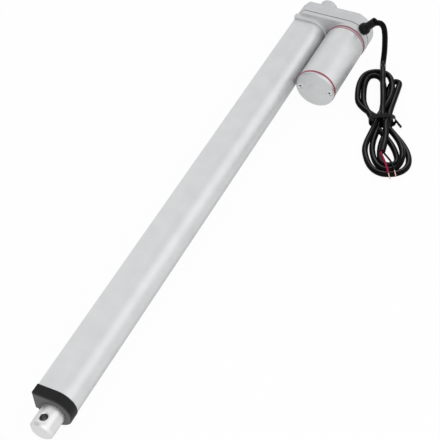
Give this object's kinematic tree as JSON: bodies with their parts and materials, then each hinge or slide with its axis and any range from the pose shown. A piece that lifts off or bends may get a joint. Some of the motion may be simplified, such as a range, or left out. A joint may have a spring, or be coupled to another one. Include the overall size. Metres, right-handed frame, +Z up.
{
  "type": "electric linear actuator",
  "caption": "Electric linear actuator: long extruded tube, sliding rod with a pin hole, side motor on a split die-cast gearbox with a rear stub, and a bundled cable.",
  "frame": {"origin": "centre of the rear lug's pin hole", "axes": "+X along the rod as it extends, +Y from the rod towards the motor and along the rear pin hole, +Z up along the rod's pin hole, with the actuator lying on its side"},
  "size_m": [0.5555, 0.1665, 0.0518],
  "materials": {
    "cast_aluminium": "satin die-cast",
    "tube_anodised": "satin anodised",
    "motor_shell": "brushed",
    "rod_steel": "polished",
    "black_plastic": "moulded",
    "red_seal": "matte",
    "dark_gasket": "matte",
    "cable_jacket": "matte",
    "red_insulation": "smooth",
    "tinned_copper": "tinned",
    "bright_screws": "zinc plated",
    "gear_steel": "machined",
    "gear_plastic": "moulded acetal",
    "bearing_steel": "ground",
    "bronze": "sintered",
    "motor_iron": "oiled",
    "copper": "enamelled",
    "carbon": "pressed carbon",
    "circuit_board": "solder mask",
    "switch_button": "moulded"
  },
  "bodies": {
    "housing": {"gearbox_cover": "cast_aluminium", "gearbox_gasket": "dark_gasket", "gearbox_housing": "cast_aluminium", "gearbox_screws": "bright_screws", "outer_tube": "tube_anodised", "front_cap": "black_plastic", "rod_wiper_seal": "dark_gasket", "rod_guide_bush": "bronze", "bearing_outer_ring": "bearing_steel", "bearing_retainer": "bearing_steel", "idler_axle": "bright_screws", "motor_rear_seal": "red_seal", "motor_sleeve": "motor_shell", "motor_front_seal": "red_seal", "motor_end_cap": "motor_shell", "motor_tie_screws": "bright_screws", "motor_rear_bush": "bronze", "motor_front_bush": "bronze", "motor_flux_ring": "motor_iron", "motor_magnets": "motor_iron", "brush_plate": "black_plastic", "motor_brushes": "carbon", "limit_switch_board": "circuit_board", "rear_limit_switch": "black_plastic", "front_limit_switch": "black_plastic", "cable_grommet": "cable_jacket", "cable": "cable_jacket", "cable_hank": "cable_jacket", "cable_tail": "cable_jacket", "twist_tie": "cable_jacket", "red_lead": "red_insulation", "black_lead": "cable_jacket", "red_tip": "tinned_copper", "black_tip": "tinned_copper"},
    "rotor": {"motor_shaft": "bright_screws", "motor_pinion": "gear_steel", "armature_stack": "motor_iron", "armature_windings": "copper", "commutator": "copper"},
    "idler": {"idler_wheel": "gear_plastic", "idler_pinion": "gear_steel"},
    "spindle": {"lead_screw": "gear_steel", "spindle_gear": "gear_plastic", "spindle_end_guide": "gear_plastic", "bearing_inner_ring": "bearing_steel"},
    "bearing_balls_and_cage": {"bearing_balls": "bearing_steel", "bearing_cage": "bearing_steel"},
    "rod": {"rod_tube": "rod_steel", "rod_end_plug": "rod_steel", "drive_nut": "gear_plastic", "rod_pins": "bright_screws"},
    "rear_plunger": {"rear_switch_plunger": "switch_button"},
    "front_plunger": {"front_switch_plunger": "switch_button"}
  },
  "joints": [
    {"name": "rod_slide", "type": "slide", "parent": "housing", "child": "rod", "axis": [1, 0, 0], "range_m": [0, 0.4]},
    {"name": "motor_spin", "type": "hinge", "parent": "housing", "child": "rotor", "pos_m": [0.03, 0.036, 0], "axis": [-1, 0, 0], "range_deg": [0, 540000]},
    {"name": "idler_spin", "type": "hinge", "parent": "housing", "child": "idler", "pos_m": [0.03, 0.018, 0], "axis": [-1, 0, 0], "range_deg": [-108000, 0]},
    {"name": "spindle_spin", "type": "hinge", "parent": "housing", "child": "spindle", "pos_m": [0.03, 0, 0], "axis": [-1, 0, 0], "range_deg": [0, 36000]},
    {"name": "bearing_cage_spin", "type": "hinge", "parent": "housing", "child": "bearing_balls_and_cage", "pos_m": [0.03, 0, 0], "axis": [-1, 0, 0], "range_deg": [0, 11400]},
    {"name": "rear_switch_press", "type": "slide", "parent": "housing", "child": "rear_plunger", "axis": [0, 0, 1], "range_m": [0, 0.0006], "stiffness_N_per_m": 20},
    {"name": "front_switch_press", "type": "slide", "parent": "housing", "child": "front_plunger", "axis": [0, 0, 1], "range_m": [0, 0.0006], "stiffness_N_per_m": 20}
  ],
  "couplings": [
    {"joint": "motor_spin", "follows": "rod_slide", "rad_per_m": 23562},
    {"joint": "idler_spin", "follows": "rod_slide", "rad_per_m": -4712.4},
    {"joint": "spindle_spin", "follows": "rod_slide", "rad_per_m": 1570.8},
    {"joint": "bearing_cage_spin", "follows": "rod_slide", "rad_per_m": 497.42}
  ]
}
